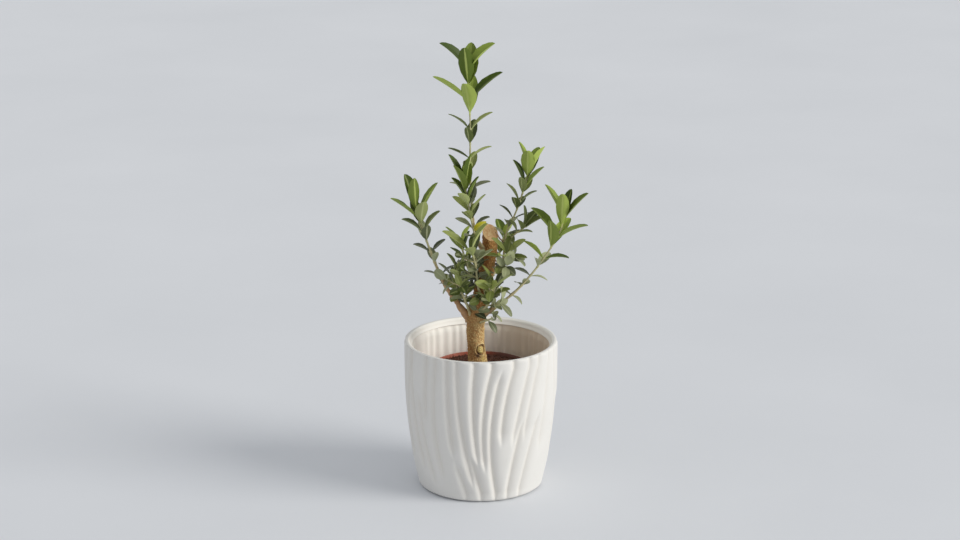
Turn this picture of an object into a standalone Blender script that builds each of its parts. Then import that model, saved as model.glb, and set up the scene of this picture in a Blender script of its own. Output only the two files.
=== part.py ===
"""Potted olive tree: a young pruned olive in its nursery pot, standing in a white ceramic planter.

Metres, +Z up. The origin is the centre of the planter's flat underside, and the tree is seen from -Y.
The limbs are tapering tubes along smooth paths. Each limb carries opposite pairs of leaves, every pair
turned a quarter round from the last, and each tier of pairs is one closed mass with a lobe per leaf.
"""

import math
import random

import bmesh
import bpy
from mathutils import Vector
from mathutils.bvhtree import BVHTree

MM = 0.001
CLEARANCE = 0.3 * MM
SHARP_FROM = 40

# Planter: a turned ceramic tub, straight at the top and drawn in to its foot.
PLANTER_HEIGHT = 133 * MM
PLANTER_RADIUS = 67.6 * MM
PLANTER_FOOT_RADIUS = 54.6 * MM
PLANTER_FOOT_ROUND = 1.2 * MM
PLANTER_STRAIGHT_FROM = 110 * MM
PLANTER_DRAW_IN = 2.2
PLANTER_RINGS = 8
PLANTER_SIDES = 40
PLANTER_WALL = 7.5 * MM
PLANTER_FLOOR = 8 * MM
PLANTER_LIP = 2.9 * MM
PLANTER_LIP_STEPS = 4
PLANTER_BAND = 7 * MM
PLANTER_STEP = 1 * MM
PLANTER_STEP_SHARE = 0.6
PLANTER_BAND_DEPTH = 2.2 * MM

# Nursery pot: the thin tapered growing pot that stands on the planter's floor.
NURSERY_SIDES = 28
NURSERY_RIM_HEIGHT = 106.5 * MM
NURSERY_RIM_RADIUS = 45 * MM
NURSERY_RIM_DROP = 9 * MM
NURSERY_TOP_RADIUS = 43 * MM
NURSERY_BASE_RADIUS = 32 * MM
NURSERY_WALL = 1.4 * MM

# Compost: its level top, and its gap to the nursery pot, which clears the pot's flat facets.
SOIL_TOP = 104.3 * MM
SOIL_GAP = 0.4 * MM

# Trunk: bends of its centre line in millimetres, from the soil to the sawn top, and what thickens it.
TRUNK_SIDES = 12
TRUNK_RINGS = 11
TRUNK_BENDS = ((-2, 0, 104.6), (-4.5, 0, 145), (2, 1, 180), (7.5, 2, 210), (8.3, 2, 229))
TRUNK_RADII = (8.3 * MM, 6.6 * MM)
TRUNK_FLARE = 2.5 * MM
TRUNK_FLARE_REACH = 4 * MM
FORK_HEIGHT = 157 * MM
FORK_SWELLING = 1.4 * MM
FORK_REACH = 9 * MM
TRUNK_CUT_SLOPE = (-0.25, 0.84)

# Limbs: bevel circle of the tubes, spacing of their rings, and the quarter turn between leaf pairs.
LIMB_BEVEL = 1
STATION = 6 * MM
CURVE_STEPS = 12
FIRST_RUN = 1.5 * MM
FOOT_EASE = 0.5
QUARTER = 90
TIP_BUD = 1 * MM
LONG_PAIRS = 1
SHORTENING = 0.4
INTERNODE_JITTER = 0.15
TURN_JITTER = 8
LENGTH_JITTER = 0.06
RISE_JITTER = 5
TURN_TO_LIGHT = 0.5
TAPER = 2.5

# Leaf masses: skirt below the lowest pair, cap above the highest, half thickness and valley depth.
SKIRT = 2.5 * MM
CAP = 3 * MM
TIER_SHARE = 0.4
HALF_THICKNESS = 2.0 * MM
INNER_ROOM = 1 * MM
OUTER_ROOM = 1.5 * MM
VALLEY = 0.42
COLUMN_STEP = 30
SAME_LOBE = 25
CUT_BACK = 0.86
CUT_BACK_ROUNDS = 40
MASS_MARGIN = 0.4 * MM
LIMB_ROOM = 2.2 * MM

# Shoots, in millimetres. "foot" is what the shoot springs from, as (carrier, height, bearing) with the
# bearing in degrees from +X toward +Y, and "bends" lead from there to the tip. "radii" are at foot and tip.
# "internodes" and "rises" are at tip and foot, and "leaves" at the tip, at their longest and at the foot;
# a rise is in degrees above level, and "sway" lowers the odd pairs by that much and lifts the even ones.
# "tiers" says how many pairs each mass holds, from the tip down.
SHOOTS = {
    "leader": {
        "foot": ("trunk", 213, 140),
        "bends": ((-6, 8, 232), (-9, 5, 280), (-9, 3, 326), (-11, 2, 373)),
        "radii": (1.7, 0.6),
        "internodes": (12, 15),
        "leaves": (37, 37, 18),
        "long_pairs": 2,
        "rises": (62, 28),
        "sway": 14,
        "first_turn": 0,
        "tiers": (2, 2, 2, 2, 2),
    },
    "left_bough": {
        "foot": ("trunk", 158, 180),
        "bends": ((-21, -2, 167), (-32, -4, 185), (-43, -6, 213), (-56, -9, 252)),
        "radii": (3.0, 0.8),
        "internodes": (6, 13),
        "leaves": (33, 36, 13),
        "rises": (62, 34),
        "sway": -11,
        "first_turn": 65,
        "tiers": (2, 2, 3, 2),
    },
    "centre_shoot": {
        "foot": ("trunk", 219, 215),
        "bends": ((-5, -9, 230), (-10, -10, 255), (-14, -10, 275)),
        "radii": (1.3, 0.7),
        "internodes": (5, 8),
        "leaves": (30, 30, 18),
        "rises": (70, 25),
        "sway": 0,
        "first_turn": 12,
        "tiers": (3, 3, 2),
    },
    "front_shoot": {
        "foot": ("trunk", 176, 262),
        "bends": ((-2, -13, 183), (-5, -20, 209), (-9, -22, 220)),
        "radii": (1.2, 0.8),
        "internodes": (5.5, 10),
        "leaves": (31, 26, 15),
        "rises": (45, 15),
        "sway": 0,
        "first_turn": 0,
        "tiers": (2, 3),
    },
    "right_upper": {
        "foot": ("trunk", 176, 350),
        "bends": ((15, -1, 184), (20, 4, 207), (22, 7, 226), (31, 11, 246), (43, 14, 282)),
        "radii": (1.5, 0.7),
        "internodes": (6, 10.5),
        "leaves": (27, 31, 12),
        "rises": (65, 10),
        "sway": 0,
        "first_turn": 8,
        "tiers": (3, 3, 3, 3),
    },
    "right_mid": {
        "foot": ("right_upper", 221, 330),
        "bends": ((28, 3, 226), (39, -4, 236)),
        "radii": (1.0, 0.7),
        "internodes": (3.5, 8),
        "leaves": (20, 22, 10),
        "rises": (60, 15),
        "sway": 0,
        "first_turn": 10,
        "tiers": (4,),
    },
    "knot_shoot": {
        "foot": ("right_upper", 197, 262),
        "bends": ((20, -5, 200), (22, -10, 207), (23, -13, 215)),
        "radii": (0.9, 0.7),
        "internodes": (4.5, 5),
        "leaves": (20, 24, 18),
        "rises": (45, 0),
        "sway": 0,
        "first_turn": 0,
        "tiers": (4,),
    },
    "right_bough": {
        "foot": ("trunk", 159, 315),
        "bends": ((13, -9, 165), (31, -10, 180), (49, -12, 202), (66, -13, 229), (72, -13, 247)),
        "radii": (1.7, 0.7),
        "internodes": (9, 12),
        "leaves": (33, 33, 12),
        "long_pairs": 3,
        "rises": (68, -5),
        "sway": 13,
        "first_turn": 12,
        "tiers": (3, 2, 2, 2),
    },
    "low_right": {
        "foot": ("trunk", 152, 300),
        "bends": ((6, -14, 154), (11, -18, 158)),
        "radii": (0.9, 0.7),
        "internodes": (7, 7),
        "leaves": (10, 13, 13),
        "rises": (20, -15),
        "sway": 0,
        "first_turn": 100,
        "tiers": (2,),
    },
    "low_front": {
        "foot": ("trunk", 163, 285),
        "bends": ((6, -13, 167), (9, -18, 176), (13, -22, 188)),
        "radii": (1.1, 0.7),
        "internodes": (5, 6),
        "leaves": (22, 23, 15),
        "rises": (50, 15),
        "sway": 0,
        "first_turn": 20,
        "tiers": (3, 2),
    },
    "left_inner": {
        "foot": ("trunk", 160, 140),
        "bends": ((-17, 8, 170), (-26, 12, 189)),
        "radii": (1.1, 0.7),
        "internodes": (7, 6),
        "leaves": (16, 17, 13),
        "rises": (50, 20),
        "sway": 0,
        "first_turn": 30,
        "tiers": (3, 2),
    },
    "left_front": {
        "foot": ("trunk", 160, 222),
        "bends": ((-12, -11, 168), (-18, -15, 184), (-20, -17, 202)),
        "radii": (1.1, 0.7),
        "internodes": (7, 7),
        "leaves": (17, 17, 12),
        "rises": (55, 10),
        "sway": 0,
        "first_turn": 10,
        "tiers": (3, 2),
    },
    "back_left": {
        "foot": ("trunk", 170, 110),
        "bends": ((-8, 20, 180), (-18, 37, 210)),
        "radii": (1.3, 0.7),
        "internodes": (7.5, 9),
        "leaves": (20, 22, 14),
        "rises": (55, 25),
        "sway": 0,
        "first_turn": 20,
        "tiers": (3, 2),
    },
    "back_right": {
        "foot": ("trunk", 182, 60),
        "bends": ((13, 20, 190), (20, 39, 215)),
        "radii": (1.3, 0.7),
        "internodes": (7.5, 9),
        "leaves": (20, 22, 14),
        "rises": (55, 25),
        "sway": 0,
        "first_turn": 60,
        "tiers": (3, 2),
    },
    "back_low": {
        "foot": ("trunk", 160, 80),
        "bends": ((-1, 20, 166), (2, 44, 188)),
        "radii": (1.2, 0.7),
        "internodes": (8, 9),
        "leaves": (18, 20, 14),
        "rises": (45, 25),
        "sway": 0,
        "first_turn": 0,
        "tiers": (2, 2),
    },
}


def clear_scene():
    for old in list(bpy.data.objects):
        bpy.data.objects.remove(old, do_unlink=True)


def principled(name, color, roughness):
    material = bpy.data.materials.new(name)
    material.use_nodes = True
    shader = material.node_tree.nodes["Principled BSDF"]
    shader.inputs["Base Color"].default_value = (*color, 1)
    shader.inputs["Roughness"].default_value = roughness
    material.diffuse_color = (*color, 1)
    return material


def add_piece(name, data, material):
    piece = bpy.data.objects.new(name, data)
    data.materials.append(material)
    bpy.context.scene.collection.objects.link(piece)
    return piece


def mesh_piece(name, bm, material):
    """Link a bmesh as a closed, outward-facing, smooth-shaded piece."""
    bmesh.ops.recalc_face_normals(bm, faces=bm.faces)
    mesh = bpy.data.meshes.new(name)
    bm.to_mesh(mesh)
    bm.free()
    mesh.shade_smooth()
    mesh.set_sharp_from_angle(angle=math.radians(SHARP_FROM))
    return add_piece(name, mesh, material)


def turned(name, profile, sides, material):
    """Turn a profile of (height, radius) points, in metres, into a solid round the Z axis."""
    bm = bmesh.new()
    rings = []
    for height, radius in profile:
        if radius == 0:
            rings.append([bm.verts.new((0, 0, height))] * sides)
            continue
        angles = (math.tau * side / sides for side in range(sides))
        rings.append([bm.verts.new((radius * math.cos(a), radius * math.sin(a), height)) for a in angles])
    join_rings(bm, rings)
    return mesh_piece(name, bm, material)


def join_rings(bm, rings):
    """Bridge each ring to the next; a ring that repeats one vertex is a point."""
    for lower, upper in zip(rings, rings[1:]):
        for here in range(len(lower)):
            there = (here + 1) % len(lower)
            corners = dict.fromkeys((lower[here], lower[there], upper[there], upper[here]))
            if len(corners) > 2:
                bm.faces.new(corners)


def planter_radius(height):
    """The planter's outer radius: straight near the top, drawn in ever faster toward the foot."""
    below = max(1 - height / PLANTER_STRAIGHT_FROM, 0)
    return PLANTER_RADIUS - (PLANTER_RADIUS - PLANTER_FOOT_RADIUS) * below**PLANTER_DRAW_IN


def build_planter(material):
    """Outside up to a rounded lip, a plain band inside the rim, a step, and the inner wall to the floor."""
    rise = PLANTER_STRAIGHT_FROM / PLANTER_RINGS
    outside = [(rise * ring, planter_radius(rise * ring)) for ring in range(1, PLANTER_RINGS + 1)]
    foot = [
        (0, 0),
        (0, PLANTER_FOOT_RADIUS - PLANTER_FOOT_ROUND),
        (PLANTER_FOOT_ROUND, planter_radius(PLANTER_FOOT_ROUND)),
    ]
    lip_height = PLANTER_HEIGHT - PLANTER_LIP
    lip_centre = PLANTER_RADIUS - PLANTER_LIP
    lip = [
        (lip_height + PLANTER_LIP * math.sin(angle), lip_centre + PLANTER_LIP * math.cos(angle))
        for angle in (math.pi * step / PLANTER_LIP_STEPS for step in range(PLANTER_LIP_STEPS + 1))
    ]
    band_foot = PLANTER_HEIGHT - PLANTER_BAND
    wall_radius = lip_centre - PLANTER_LIP - PLANTER_BAND_DEPTH
    wall_heights = [PLANTER_FLOOR + rise * ring for ring in range(PLANTER_RINGS - 1, -1, -2)]
    inside = [
        (band_foot, wall_radius + PLANTER_BAND_DEPTH * (1 - PLANTER_STEP_SHARE)),
        (band_foot - PLANTER_STEP, wall_radius),
        *((height, planter_radius(height) - PLANTER_WALL) for height in wall_heights),
        (PLANTER_FLOOR, planter_radius(PLANTER_FLOOR) - PLANTER_WALL),
        (PLANTER_FLOOR, 0),
    ]
    return turned("planter", [*foot, *outside, *lip, *inside], PLANTER_SIDES, material)


def build_nursery_pot(material):
    base = PLANTER_FLOOR + CLEARANCE
    under_rim = NURSERY_RIM_HEIGHT - NURSERY_RIM_DROP
    profile = [
        (base, 0),
        (base, NURSERY_BASE_RADIUS),
        (under_rim, NURSERY_TOP_RADIUS),
        (under_rim, NURSERY_RIM_RADIUS),
        (NURSERY_RIM_HEIGHT, NURSERY_RIM_RADIUS),
        (NURSERY_RIM_HEIGHT, NURSERY_RIM_RADIUS - NURSERY_WALL),
        (base + NURSERY_WALL, NURSERY_BASE_RADIUS - NURSERY_WALL),
        (base + NURSERY_WALL, 0),
    ]
    return turned("nursery_pot", profile, NURSERY_SIDES, material)


def build_soil(material):
    """Fills the nursery pot to its level top, a clearance off the pot's inside."""
    base = PLANTER_FLOOR + CLEARANCE + NURSERY_WALL
    wall_run = NURSERY_RIM_HEIGHT - base
    spread = NURSERY_RIM_RADIUS - NURSERY_BASE_RADIUS
    inner = NURSERY_BASE_RADIUS - NURSERY_WALL - SOIL_GAP
    top_radius = inner + spread * (SOIL_TOP - base) / wall_run
    bottom = base + CLEARANCE
    profile = [(bottom, 0), (bottom, inner), (SOIL_TOP, top_radius), (SOIL_TOP, 0)]
    return turned("soil", profile, NURSERY_SIDES, material)


def trunk_ring(height):
    """Centre and radius of the trunk at a height: a taper, the root flare and the swelling at the fork."""
    path = smooth_path([Vector(bend) * MM for bend in TRUNK_BENDS])
    foot, top = path[0].z, path[-1].z
    share = (height - foot) / (top - foot)
    radius = TRUNK_RADII[0] + (TRUNK_RADII[1] - TRUNK_RADII[0]) * share
    radius += TRUNK_FLARE * math.exp((foot - height) / TRUNK_FLARE_REACH)
    radius += FORK_SWELLING * math.exp(-(((height - FORK_HEIGHT) / FORK_REACH) ** 2))
    for low, high in zip(path, path[1:]):
        if height <= high.z or high is path[-1]:
            return low.lerp(high, (height - low.z) / (high.z - low.z)), radius


def build_trunk(material):
    """Flat cut on the soil, root flare, the fork's swelling and a slanting sawn top."""
    bm = bmesh.new()
    foot, top = (TRUNK_BENDS[end][2] * MM for end in (0, -1))
    spacing = (top - foot) / TRUNK_RINGS
    even = (foot + spacing * ring for ring in range(1, TRUNK_RINGS))
    heights = [foot, foot + TRUNK_FLARE_REACH / 2, *even, top]
    rings = []
    for height in heights:
        centre, radius = trunk_ring(height)
        slope_x, slope_y = TRUNK_CUT_SLOPE if height == top else (0, 0)
        ring = []
        for side in range(TRUNK_SIDES):
            across = radius * math.cos(math.tau * side / TRUNK_SIDES)
            along = radius * math.sin(math.tau * side / TRUNK_SIDES)
            ring.append(bm.verts.new(centre + Vector((across, along, slope_x * across + slope_y * along))))
        rings.append(ring)
    join_rings(bm, rings)
    bm.faces.new(rings[0])
    bm.faces.new(rings[-1])
    return mesh_piece("trunk", bm, material)


def smooth_path(points):
    """A Catmull-Rom curve through the points, resampled at about one station apart."""
    ends = [points[0] * 2 - points[1], *points, points[-1] * 2 - points[-2]]
    fine = []
    for a, b, c, d in zip(ends, ends[1:], ends[2:], ends[3:]):
        for step in range(CURVE_STEPS):
            t = step / CURVE_STEPS
            fine.append(
                (b * 2 + (c - a) * t + (a * 2 - b * 5 + c * 4 - d) * t**2 + (b * 3 - a - c * 3 + d) * t**3) / 2
            )
    fine.append(points[-1])
    length = sum((b - a).length for a, b in zip(fine, fine[1:]))
    count = max(round(length / STATION), 2)
    return [walk(fine, length * number / count) for number in range(count + 1)]


def walk(path, distance):
    """The point at a distance along a path, which runs straight on past its last point."""
    for a, b in zip(path, path[1:]):
        run = (b - a).length
        if distance <= run or b is path[-1]:
            return a.lerp(b, distance / run)
        distance -= run


def path_length(path):
    return sum((b - a).length for a, b in zip(path, path[1:]))


def tangent(path, distance):
    reach = STATION / 2
    start = max(distance - reach, 0)
    return (walk(path, start + 2 * reach) - walk(path, start)).normalized()


def frame_round(axis):
    """Two directions square to an axis: toward the right, and toward the front."""
    right = Vector((0, 1, 0)).cross(axis).normalized()
    front = right.cross(axis).normalized()
    return right, front


def shoot_foot(shoot, paths):
    """Where a shoot springs from its carrier's surface, and the way out from there."""
    carrier, height, bearing = shoot["foot"]
    out = Vector((math.cos(math.radians(bearing)), math.sin(math.radians(bearing)), 0))
    if carrier == "trunk":
        centre, radius = trunk_ring(height * MM)
    else:
        path = paths[carrier]
        centre = min(path, key=lambda point: abs(point.z - height * MM))
        radius = SHOOTS[carrier]["radii"][0] * MM
    ease = FOOT_EASE * shoot["radii"][0] * MM
    return centre + out * (radius + CLEARANCE + ease), out


def shoot_path(shoot, paths):
    foot, out = shoot_foot(shoot, paths)
    guides = [Vector(bend) * MM for bend in shoot["bends"]]
    return smooth_path([foot, foot + out * FIRST_RUN, *guides])


def shoot_radius(shoot, path, distance):
    """A shoot thins fast above its foot, and then slowly up to its tip."""
    base, tip = (radius * MM for radius in shoot["radii"])
    left = max(1 - distance / path_length(path), 0)
    return tip + (base - tip) * left**TAPER


def leaf_length(shoot, number, count):
    """Leaves lengthen from the tip to the last long pair and shorten from there to the foot."""
    last_long = shoot.get("long_pairs", LONG_PAIRS)
    tip, longest, foot = shoot["leaves"]
    if number < last_long:
        return (tip + (longest - tip) * number / last_long) * MM
    share = (number - last_long) / max(count - 1 - last_long, 1)
    return (longest + (foot - longest) * share**SHORTENING) * MM


def leaf_pairs(name, shoot, path):
    """Every pair from the tip down, as its distance along the shoot and its two (turn, length, rise)."""
    dice = random.Random(name)
    count = sum(shoot["tiers"])
    distance = path_length(path) - TIP_BUD
    turn = shoot["first_turn"]
    pairs = []
    for number in range(count):
        share = number / (count - 1)
        rise = shoot["rises"][0] + (shoot["rises"][1] - shoot["rises"][0]) * share
        rise -= shoot["sway"] * (-1) ** number
        internode = shoot["internodes"][0] + (shoot["internodes"][1] - shoot["internodes"][0]) * share
        leaves = []
        for side in (0, 180):
            leaf_turn = turn + side + dice.uniform(-TURN_JITTER, TURN_JITTER)
            length = leaf_length(shoot, number, count) * (1 + dice.uniform(-LENGTH_JITTER, LENGTH_JITTER))
            leaves.append((leaf_turn % 360, length, rise + dice.uniform(-RISE_JITTER, RISE_JITTER)))
        pairs.append((distance, leaves))
        distance -= internode * MM * (1 + dice.uniform(-INTERNODE_JITTER, INTERNODE_JITTER))
        turn += QUARTER
    return pairs


def shoot_tiers(name, shoot, path):
    """The pairs of each mass from the tip down, with the stretch of limb that the mass covers."""
    pairs = leaf_pairs(name, shoot, path)
    tiers = []
    top = path_length(path) + CAP
    for size in shoot["tiers"]:
        group, pairs = pairs[:size], pairs[size:]
        lowest = group[-1][0]
        space = lowest - pairs[0][0] if pairs else SKIRT / TIER_SHARE
        tiers.append((group, lowest - min(SKIRT, space * TIER_SHARE), top))
        if pairs:
            top = pairs[0][0] + min(CAP, space * TIER_SHARE)
    return tiers


def build_limb(name, shoot, path, end, material):
    """A capped tube along the path up to the distance "end", thinning from foot to tip."""
    curve = bpy.data.curves.new(name, "CURVE")
    curve.dimensions = "3D"
    curve.bevel_depth = 1
    curve.bevel_resolution = LIMB_BEVEL
    curve.use_fill_caps = True
    spaced = path_length(path) / (len(path) - 1)
    rings = [number * spaced for number in range(1, len(path)) if number * spaced < end - STATION / 3]
    distances = [0, FIRST_RUN / 2, *rings, end]
    spline = curve.splines.new("POLY")
    spline.points.add(len(distances) - 1)
    for point, distance in zip(spline.points, distances):
        point.co = (*walk(path, distance), 1)
        point.radius = shoot_radius(shoot, path, distance)
    return add_piece(name, curve, material)


def mass_lobes(pairs):
    """One lobe for each leaf, by turn; of two that point the same way the longer stays."""
    lobes = sorted((turn, length, rise, distance) for distance, leaves in pairs for turn, length, rise in leaves)
    kept = []
    for lobe in sorted(lobes, key=lambda one: -one[1]):
        if all(abs((lobe[0] - other[0] + 180) % 360 - 180) > SAME_LOBE for other in kept):
            kept.append(lobe)
    return sorted(kept)


def mass_columns(lobes):
    """The lobes with valleys between them, each as [turn, length, rise, distance]."""
    columns = []
    for lobe, following in zip(lobes, lobes[1:] + lobes[:1]):
        gap = (following[0] - lobe[0]) % 360
        steps = max(round(gap / COLUMN_STEP), 2)
        columns.append(list(lobe))
        for step in range(1, steps):
            share = step / steps
            length, rise, distance = (a + (b - a) * share for a, b in zip(lobe[1:], following[1:]))
            columns.append([lobe[0] + gap * share, length * VALLEY, rise, distance])
    return columns


def mass_mesh(shoot, path, columns, bottom, top, is_crown):
    """A ring of lobes round the limb: under side, tips and upper side, with the limb's hole or a closed top."""
    bm = bmesh.new()
    narrow = math.cos(math.pi / len(columns))
    under, tips, over = [], [], []
    for turn, length, rise, distance in columns:
        stem = walk(path, distance)
        axis = tangent(path, distance).lerp(Vector((0, 0, 1)), TURN_TO_LIGHT).normalized()
        right, front = frame_round(axis)
        side = right * math.cos(math.radians(turn)) + front * math.sin(math.radians(turn))
        edge = shoot_radius(shoot, path, distance) + CLEARANCE
        slope = math.radians(rise)
        out, lift = length * math.cos(slope) + edge, length * math.sin(slope)
        thick_out, thick_up = HALF_THICKNESS * math.sin(slope), HALF_THICKNESS * math.cos(slope)
        inner = max(out / 2 - thick_out, edge + INNER_ROOM)
        outer = max(out / 2 + thick_out, edge + OUTER_ROOM)
        under.append(bm.verts.new(stem + side * outer + axis * (lift / 2 - thick_up)))
        tips.append(bm.verts.new(stem + side * out + axis * lift))
        over.append(bm.verts.new(stem + side * inner + axis * (lift / 2 + thick_up)))

    def hole_ring(distance):
        right, front = frame_round(tangent(path, distance))
        radius = (shoot_radius(shoot, path, distance) + CLEARANCE) / narrow
        ring = []
        for turn, *_ in columns:
            side = right * math.cos(math.radians(turn)) + front * math.sin(math.radians(turn))
            ring.append(bm.verts.new(walk(path, distance) + side * radius))
        return ring

    low_ring = hole_ring(bottom)
    if is_crown:
        peak = bm.verts.new(walk(path, top))
        rings = [low_ring, under, tips, over, [peak] * len(columns)]
        bm.faces.new(low_ring)
    else:
        spaced = path_length(path) / (len(path) - 1)
        between = [n * spaced for n in range(len(path), 0, -1) if bottom + MM < n * spaced < top - MM]
        rings = [low_ring, under, tips, over, *(hole_ring(distance) for distance in (top, *between)), low_ring]
    join_rings(bm, rings)
    bmesh.ops.recalc_face_normals(bm, faces=bm.faces)
    return bm


def search_tree(piece, swell=0):
    """A piece's evaluated faces, swollen if asked, for finding what would run into it."""
    graph = bpy.context.evaluated_depsgraph_get()
    solid = piece.evaluated_get(graph)
    mesh = solid.to_mesh()
    places = [vert.co + vert.normal * swell for vert in mesh.vertices]
    tree = BVHTree.FromPolygons(places, [face.vertices[:] for face in mesh.polygons])
    solid.to_mesh_clear()
    return tree


def blocked_columns(bm, count, obstacles):
    """The columns whose faces, grown by the margin, run into an obstacle."""
    grown = bm.copy()
    grown.normal_update()
    grown.faces.ensure_lookup_table()
    places = [vert.co + vert.normal * MASS_MARGIN for vert in grown.verts]
    tree = BVHTree.FromPolygons(places, [[v.index for v in face.verts] for face in grown.faces])
    blocked = set()
    for obstacle in obstacles:
        for face_index, _ in tree.overlap(obstacle):
            blocked.update(v.index // 3 for v in grown.faces[face_index].verts if v.index < 3 * count)
    grown.free()
    return blocked


def build_mass(name, shoot, path, tier, is_crown, obstacles, material):
    """One tier of leaves as a closed mass; lobes that would run into a neighbour are cut back."""
    pairs, bottom, top = tier
    columns = mass_columns(mass_lobes(pairs))
    for _ in range(CUT_BACK_ROUNDS):
        bm = mass_mesh(shoot, path, columns, bottom, top, is_crown)
        bm.verts.index_update()
        blocked = blocked_columns(bm, len(columns), obstacles)
        if not blocked:
            break
        bm.free()
        for number in blocked:
            columns[number][1] *= CUT_BACK
    else:
        bm = mass_mesh(shoot, path, columns, bottom, top, is_crown)
    return mesh_piece(name, bm, material)


def main():
    clear_scene()
    ceramic = principled("white ceramic", (0.78, 0.77, 0.74), 0.55)
    terracotta = principled("terracotta plastic", (0.55, 0.13, 0.05), 0.5)
    compost = principled("compost", (0.06, 0.025, 0.018), 0.95)
    bark = principled("olive bark", (0.36, 0.23, 0.11), 0.9)

    build_planter(ceramic)
    build_nursery_pot(terracotta)
    build_soil(compost)
    trunk = build_trunk(bark)

    paths = {}
    for name, shoot in SHOOTS.items():
        paths[name] = shoot_path(shoot, paths)

    limbs = {}
    tiers = {}
    for number, (name, shoot) in enumerate(SHOOTS.items()):
        tiers[name] = shoot_tiers(name, shoot, paths[name])
        crown_bottom = tiers[name][0][1]
        shade = principled(f"{name} bark", (0.30 + 0.01 * number, 0.22, 0.12), 0.85)
        limbs[name] = build_limb(name, shoot, paths[name], crown_bottom - CLEARANCE, shade)

    bpy.context.view_layer.update()
    limb_trees = {name: search_tree(limb, LIMB_ROOM) for name, limb in limbs.items()}
    standing = [search_tree(trunk)]
    for name, shoot in SHOOTS.items():
        others = [tree for other, tree in limb_trees.items() if other != name]
        for number, tier in enumerate(tiers[name]):
            leaf_name = f"{name}_leaves_{number + 1}"
            green = principled(leaf_name, (0.10 + 0.02 * number, 0.22, 0.05), 0.6)
            mass = build_mass(leaf_name, shoot, paths[name], tier, number == 0, standing + others, green)
            standing.append(search_tree(mass))


main()
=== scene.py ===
import math
import random

import bpy
import numpy as np
from mathutils import Euler, Matrix, Vector, noise


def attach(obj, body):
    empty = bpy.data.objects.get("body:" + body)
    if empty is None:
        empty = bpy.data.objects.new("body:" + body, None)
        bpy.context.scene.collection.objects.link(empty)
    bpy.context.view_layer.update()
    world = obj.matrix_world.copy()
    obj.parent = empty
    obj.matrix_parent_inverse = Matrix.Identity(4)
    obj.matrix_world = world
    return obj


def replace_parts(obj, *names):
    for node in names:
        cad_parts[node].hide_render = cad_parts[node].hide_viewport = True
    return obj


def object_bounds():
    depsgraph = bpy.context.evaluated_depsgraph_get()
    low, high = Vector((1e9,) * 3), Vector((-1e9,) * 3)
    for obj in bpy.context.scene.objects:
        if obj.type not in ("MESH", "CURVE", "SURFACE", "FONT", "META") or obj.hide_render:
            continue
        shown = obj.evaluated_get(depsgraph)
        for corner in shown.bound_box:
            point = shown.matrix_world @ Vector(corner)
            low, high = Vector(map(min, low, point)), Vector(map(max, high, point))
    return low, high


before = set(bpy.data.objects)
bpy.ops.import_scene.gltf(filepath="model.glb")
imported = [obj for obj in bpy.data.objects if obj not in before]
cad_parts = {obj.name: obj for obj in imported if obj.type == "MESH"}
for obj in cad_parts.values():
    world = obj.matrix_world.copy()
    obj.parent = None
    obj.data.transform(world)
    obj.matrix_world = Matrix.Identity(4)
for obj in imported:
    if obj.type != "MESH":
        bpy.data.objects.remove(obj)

cad_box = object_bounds()
bpy.ops.object.select_all(action="DESELECT")

# ----------------------------------------
# Viewpoint: a long lens standing two metres in front of the planter and looking a little down,
# so the mouth of the planter shows as a flat oval and the tree is hardly foreshortened.
VIEWPOINT = (-0.0006, -2.0, 0.7907)
LOOKING_DOWN = 16.57
LENS = 89.9
SENSOR_WIDTH = 36
bpy.ops.object.camera_add(location=VIEWPOINT, rotation=(math.radians(90 - LOOKING_DOWN), 0, 0))
viewpoint = bpy.context.active_object
viewpoint.name = "viewpoint"
viewpoint.data.lens = LENS
viewpoint.data.sensor_width = SENSOR_WIDTH
bpy.context.scene.camera = viewpoint
bpy.context.scene.view_settings.view_transform = "Standard"

# ----------------------------------------
# Planter: a slip-cast tub in white bisque ceramic, straight at the top and drawn in to its foot.
# Flowing creases run down its outside like folds in cloth, some of them ending or starting half
# way, under a plain band and a round lip; the inside wall has shallow upright flutes.
MM = 0.001
PLANTER_HEIGHT = 133 * MM
PLANTER_RADIUS = 67.6 * MM
PLANTER_FOOT_RADIUS = 54.6 * MM
PLANTER_STRAIGHT_FROM = 110 * MM
PLANTER_DRAW_IN = 2.2
PLANTER_WALL = 6.9 * MM
PLANTER_FLOOR = 8 * MM
LIP_RADIUS = 2.9 * MM
BAND_HEIGHT = 5.4 * MM
BAND_STEP = 1.5 * MM
UNDERCUT = 1.6 * MM
PLANTER_STEPS = 560
FOOT_RING = ((4.2, 0), (3.8, 0.8), (1.5, 1.0), (0.6, 1.4))
FOOT_EDGE = 2.4 * MM
BAND_EDGE = ((0.9, 1.6), (0.4, 0.7), (0.1, 0.25), (0, 0), (0.1, -0.25), (0.5, -0.45))
OUTSIDE_RINGS = 98
INSIDE_RINGS = 34
LIP_STEPS = 12


def planter_radius(height):
    """Outer radius of the tub before the creases are pressed in."""
    below = max(1 - height / PLANTER_STRAIGHT_FROM, 0)
    return PLANTER_RADIUS - (PLANTER_RADIUS - PLANTER_FOOT_RADIUS) * below**PLANTER_DRAW_IN


def evenly(start, end, steps):
    return [start + (end - start) * step / steps for step in range(steps + 1)]


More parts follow.
